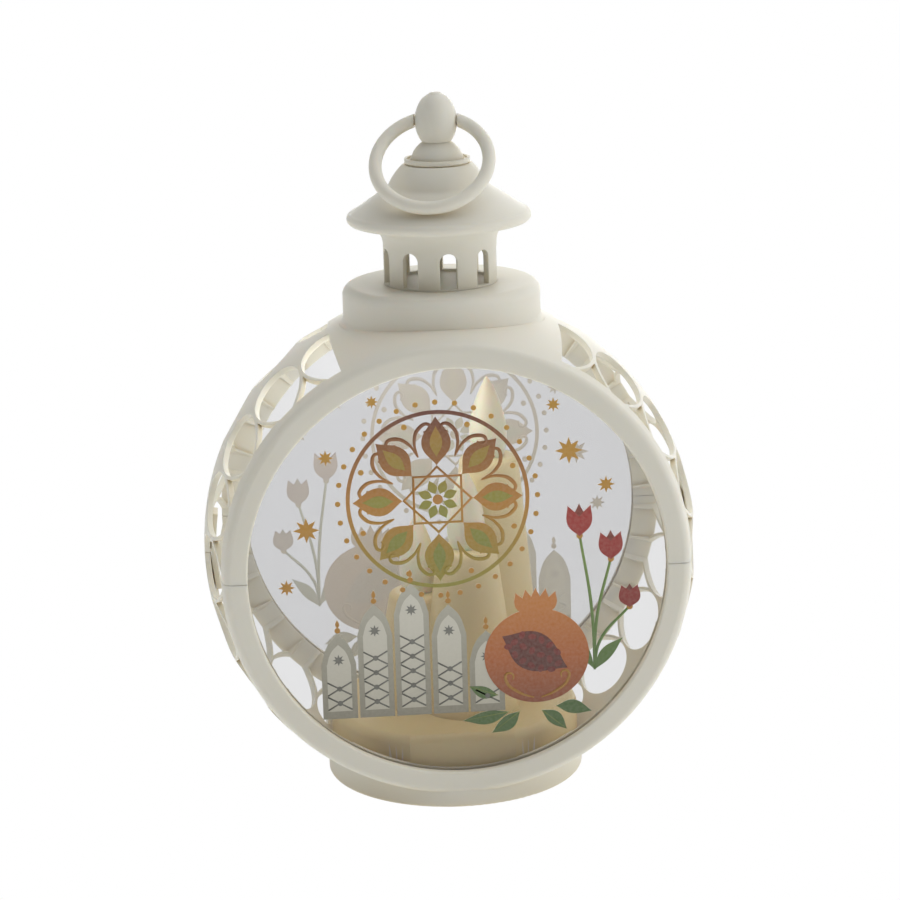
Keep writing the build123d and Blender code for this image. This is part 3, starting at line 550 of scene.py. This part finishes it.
def drawFruit(sheet):
    c = fruit["at"]
    r = fruit["radius"]
    sheet.disc("inkOrange", *c, r, 64, 0.94)
    for lean in fruit["crown"]:
        tip = (c[0] + 9.5 * math.sin(lean), c[1] + r * 0.9 + 6.5 * math.cos(lean))
        sheet.leaf("inkOrange", (c[0] + 5.5 * math.sin(lean), c[1] + r * 0.82), tip, 1.5)
    slitStart, slitEnd = (Vector(c) + Vector(end) for end in fruit["slit"][:2])
    sheet.leaf("inkSeed", slitStart[:], slitEnd[:], fruit["slit"][2])
    along = slitEnd - slitStart
    across = Vector((-along.y, along.x)).normalized()
    for k in range(fruit["seeds"]):
        t = 0.12 + 0.76 * (k + 0.5) / fruit["seeds"]
        offset = 3.9 * (1 - (2 * t - 1) ** 2) * ((k % 3) - 1)
        p = slitStart + along * t + across * offset
        sheet.disc("inkRed", p.x, p.y, fruit["seed"], 14, 0.72, 0.6 * (k % 5))
    for way in (1, -1):
        curl = [(c[0] + way * 1.0, c[1] - 12.2, 0.4), (c[0] + way * 5.0, c[1] - 10.6, 0.9),
                (c[0] + way * 8.6, c[1] - 7.2, 1.0), (c[0] + way * 8.4, c[1] - 4.9, 0.8),
                (c[0] + way * 6.7, c[1] - 5.3, 0.6), (c[0] + way * 6.8, c[1] - 6.7, 0.4)]
        sheet.stroke("inkGold", curl, 0.9)
    for start, end, belly in fruitLeaves:
        sheet.leaf("inkLeaf", start, end, belly, 0.5)
        sheet.stroke("inkOlive", [(*start, 0.5), (*end, 0.2)], 0.5)


def drawTulips(sheet):
    root = tulips["root"]
    for u, w, tall in tulips["heads"]:
        bow = (u - root[0]) * 0.15
        middle = (root[0] + bow, root[1] + 0.45 * (w - root[1]), 1.0)
        sheet.stroke("inkLeaf", [(*root, 0.7), middle, (u, w, 0.8)], 0.9)
        for lean, belly in tulips["petals"]:
            tip = (u + tall * math.sin(lean), w + tall * math.cos(lean))
            sheet.leaf("inkRed" if lean else "inkSeed", (u, w - 0.4), tip, belly)
        sheet.disc("inkGold", u, w - 0.2, 0.9, 14)
    for end, belly in tulips["leaves"]:
        sheet.leaf("inkLeaf", root, end, belly, 0.6)


def drawStars(sheet):
    for u, w, size in stars:
        sheet.star("inkGold", u, w, size)
        sheet.disc("inkUmberGold", u, w, 0.22 * size, 12)


def makePrint(name, rear, pale):
    sheet = Sheet(pale)
    for draw in (drawStars, drawArcade, drawRosette, drawTulips, drawFruit):
        draw(sheet)
    bm = sheet.bm
    bmesh.ops.solidify(bm, geom=bm.faces[:], thickness=printLook["inkMm"])
    stand = Matrix.Rotation(math.pi if rear else 0, 4, "Z") @ Matrix.Translation((0, -paneFace, drumAxisZ))
    upright = Matrix.Rotation(math.pi / 2, 4, "X") @ Matrix.Scale(mm, 4)
    bmesh.ops.transform(bm, matrix=stand @ upright, verts=bm.verts)
    mesh = bpy.data.meshes.new(name)
    bm.to_mesh(mesh)
    bm.free()
    for ink in inkOrder:
        mesh.materials.append(inkFinish[ink, pale])
    piece = bpy.data.objects.new(name, mesh)
    bpy.context.scene.collection.objects.link(piece)
    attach(piece, "lantern")
    return piece


inkFinish = {}
for ink, look in inks.items():
    inkFinish[ink, False] = makeInk(ink, look, False)
    inkFinish[ink, True] = makeInk(ink + "Underside", look, True)
for name, rear, pale in (("frontPrint", False, False), ("frontPrintUnderside", False, True),
                         ("rearPrint", True, False), ("rearPrintUnderside", True, True)):
    piece = makePrint(name, rear, pale)
    print("print:", name, len(piece.data.polygons), "faces")


# stage: pale floor, a room that is lighter towards the back, and a few soft lamps
stage = {
    "floorM": 8,
    "floorDropMm": 0.05,
    "floor": "F2F2F0",
    "floorRoughness": 0.9,
    "floorGlow": 0.3,
    "seenFloor": 1.0,
    "frontSky": 0.23,
    "backSky": 0.65,
    "skyTurn": (-0.2, 0.7),
    "seenSky": 1.0,
}


def makeStage():
    bm = bmesh.new()
    bmesh.ops.create_grid(bm, x_segments=1, y_segments=1, size=stage["floorM"])
    bmesh.ops.translate(bm, verts=bm.verts[:], vec=(0, 0, -stage["floorDropMm"] * mm))
    mesh = bpy.data.meshes.new("floor")
    bm.to_mesh(mesh)
    bm.free()
    material, tree = startMaterial("paperFloor")
    paper = addNode(tree, "BsdfPrincipled",
                    {"Base Color": hexLinear(stage["floor"]), "Roughness": stage["floorRoughness"],
                     "Specular IOR Level": 0.0, "Emission Color": (1, 1, 1, 1),
                     "Emission Strength": stage["floorGlow"]}, {})
    white = addNode(tree, "Emission", {"Strength": stage["seenFloor"]}, {})
    path = addNode(tree, "LightPath", {}, {})
    both = addNode(tree, "MixShader", {},
                   {0: path.outputs["Is Camera Ray"], 1: paper.outputs[0], 2: white.outputs[0]})
    under = addNode(tree, "NewGeometry", {}, {}).outputs["Backfacing"]
    clear = addNode(tree, "BsdfTransparent", {}, {})
    sided = addNode(tree, "MixShader", {}, {0: under, 1: both.outputs[0], 2: clear.outputs[0]})
    closeMaterial(tree, sided)  # seen from below, the floor isn't in the way
    mesh.materials.append(material)
    floor = bpy.data.objects.new("floor", mesh)
    bpy.context.scene.collection.objects.link(floor)
    world = bpy.data.worlds.new("softRoom")
    world.use_nodes = True
    world.node_tree.nodes.clear()
    tree = world.node_tree
    path = addNode(tree, "LightPath", {}, {})
    around = addNode(tree, "TexCoord", {}, {}).outputs["Generated"]
    way = addNode(tree, "SeparateXYZ", {}, {"Vector": around})
    front, back = stage["skyTurn"]
    depth = addNode(tree, "MapRange",
                    {"From Min": front, "From Max": back,
                     "To Min": stage["frontSky"], "To Max": stage["backSky"]},
                    {"Value": way.outputs["Y"]})
    lit = addNode(tree, "Background", {"Color": (1, 1, 1, 1)}, {"Strength": depth.outputs[0]})
    seen = addNode(tree, "Background", {"Color": (1, 1, 1, 1), "Strength": stage["seenSky"]}, {})
    both = addNode(tree, "MixShader", {},
                   {0: path.outputs["Is Camera Ray"], 1: lit.outputs[0], 2: seen.outputs[0]})
    addNode(tree, "OutputWorld", {}, {"Surface": both.outputs[0]})
    bpy.context.scene.world = world


lamps = {
    "overhead": {"kind": "SUN", "at": (0.35, 0.0, 1.0), "spread": 70, "strength": 1.35},
    "frontRight": {"kind": "AREA", "at": (1.5, -0.3, 0.4), "spread": 0.9, "strength": 4.6},
    "behind": {"kind": "AREA", "at": (0.2, 1.1, 0.15), "spread": 0.9, "strength": 6.0},
    "inside": {"kind": "POINT", "at": (-0.018, -0.010, 0.113), "spread": 0.022, "strength": 0.038},
}
lampAim = Vector((0, 0, 0.08))


def makeLamps():
    for name, look in lamps.items():
        data = bpy.data.lights.new(name, look["kind"])
        if look["kind"] == "SUN":
            data.angle = math.radians(look["spread"])
        elif look["kind"] == "POINT":
            data.shadow_soft_size = look["spread"]
        else:
            data.shape = "DISK"
            data.size = look["spread"]
        data.energy = look["strength"]
        lamp = bpy.data.objects.new(name, data)
        lamp.visible_camera = False
        way = lampAim - Vector(look["at"])
        lamp.matrix_world = Matrix.Translation(look["at"]) @ way.to_track_quat("-Z", "Y").to_matrix().to_4x4()
        bpy.context.scene.collection.objects.link(lamp)


# camera: where the photograph was taken from, for a square picture of 900 pixels
cameraPlace = {
    "azimuth": -3.849,
    "elevation": 14.633,
    "roll": -1.762,
    "distanceMm": 802.7,
    "targetMm": (1.1, 0, 93.5),
    "pixelsPerMm": 3.533,
    "picture": 900,
    "sensorMm": 36,
}


def makeCamera(look):
    azimuth, elevation, roll = (math.radians(look[key]) for key in ("azimuth", "elevation", "roll"))
    turn = (Matrix.Rotation(azimuth, 4, "Z") @ Matrix.Rotation(math.pi / 2 - elevation, 4, "X")
            @ Matrix.Rotation(roll, 4, "Z"))
    away = turn @ Vector((0, 0, look["distanceMm"] * mm))
    data = bpy.data.cameras.new("photoCamera")
    data.sensor_width = look["sensorMm"]
    data.lens = look["pixelsPerMm"] * look["distanceMm"] / look["picture"] * look["sensorMm"]
    camera = bpy.data.objects.new("photoCamera", data)
    camera.matrix_world = Matrix.Translation(Vector(look["targetMm"]) * mm + away) @ turn
    bpy.context.scene.collection.objects.link(camera)
    bpy.context.scene.camera = camera


makeStage()
makeLamps()
makeCamera(cameraPlace)
bpy.context.scene.view_settings.view_transform = "Standard"
bpy.context.scene.cycles.diffuse_bounces = 8  # the inside is lit by light thrown to and fro
bpy.context.scene.cycles.transparent_max_bounces = 32  # both panes and both prints lie in one line of sight
print("stage, lamps and camera set")
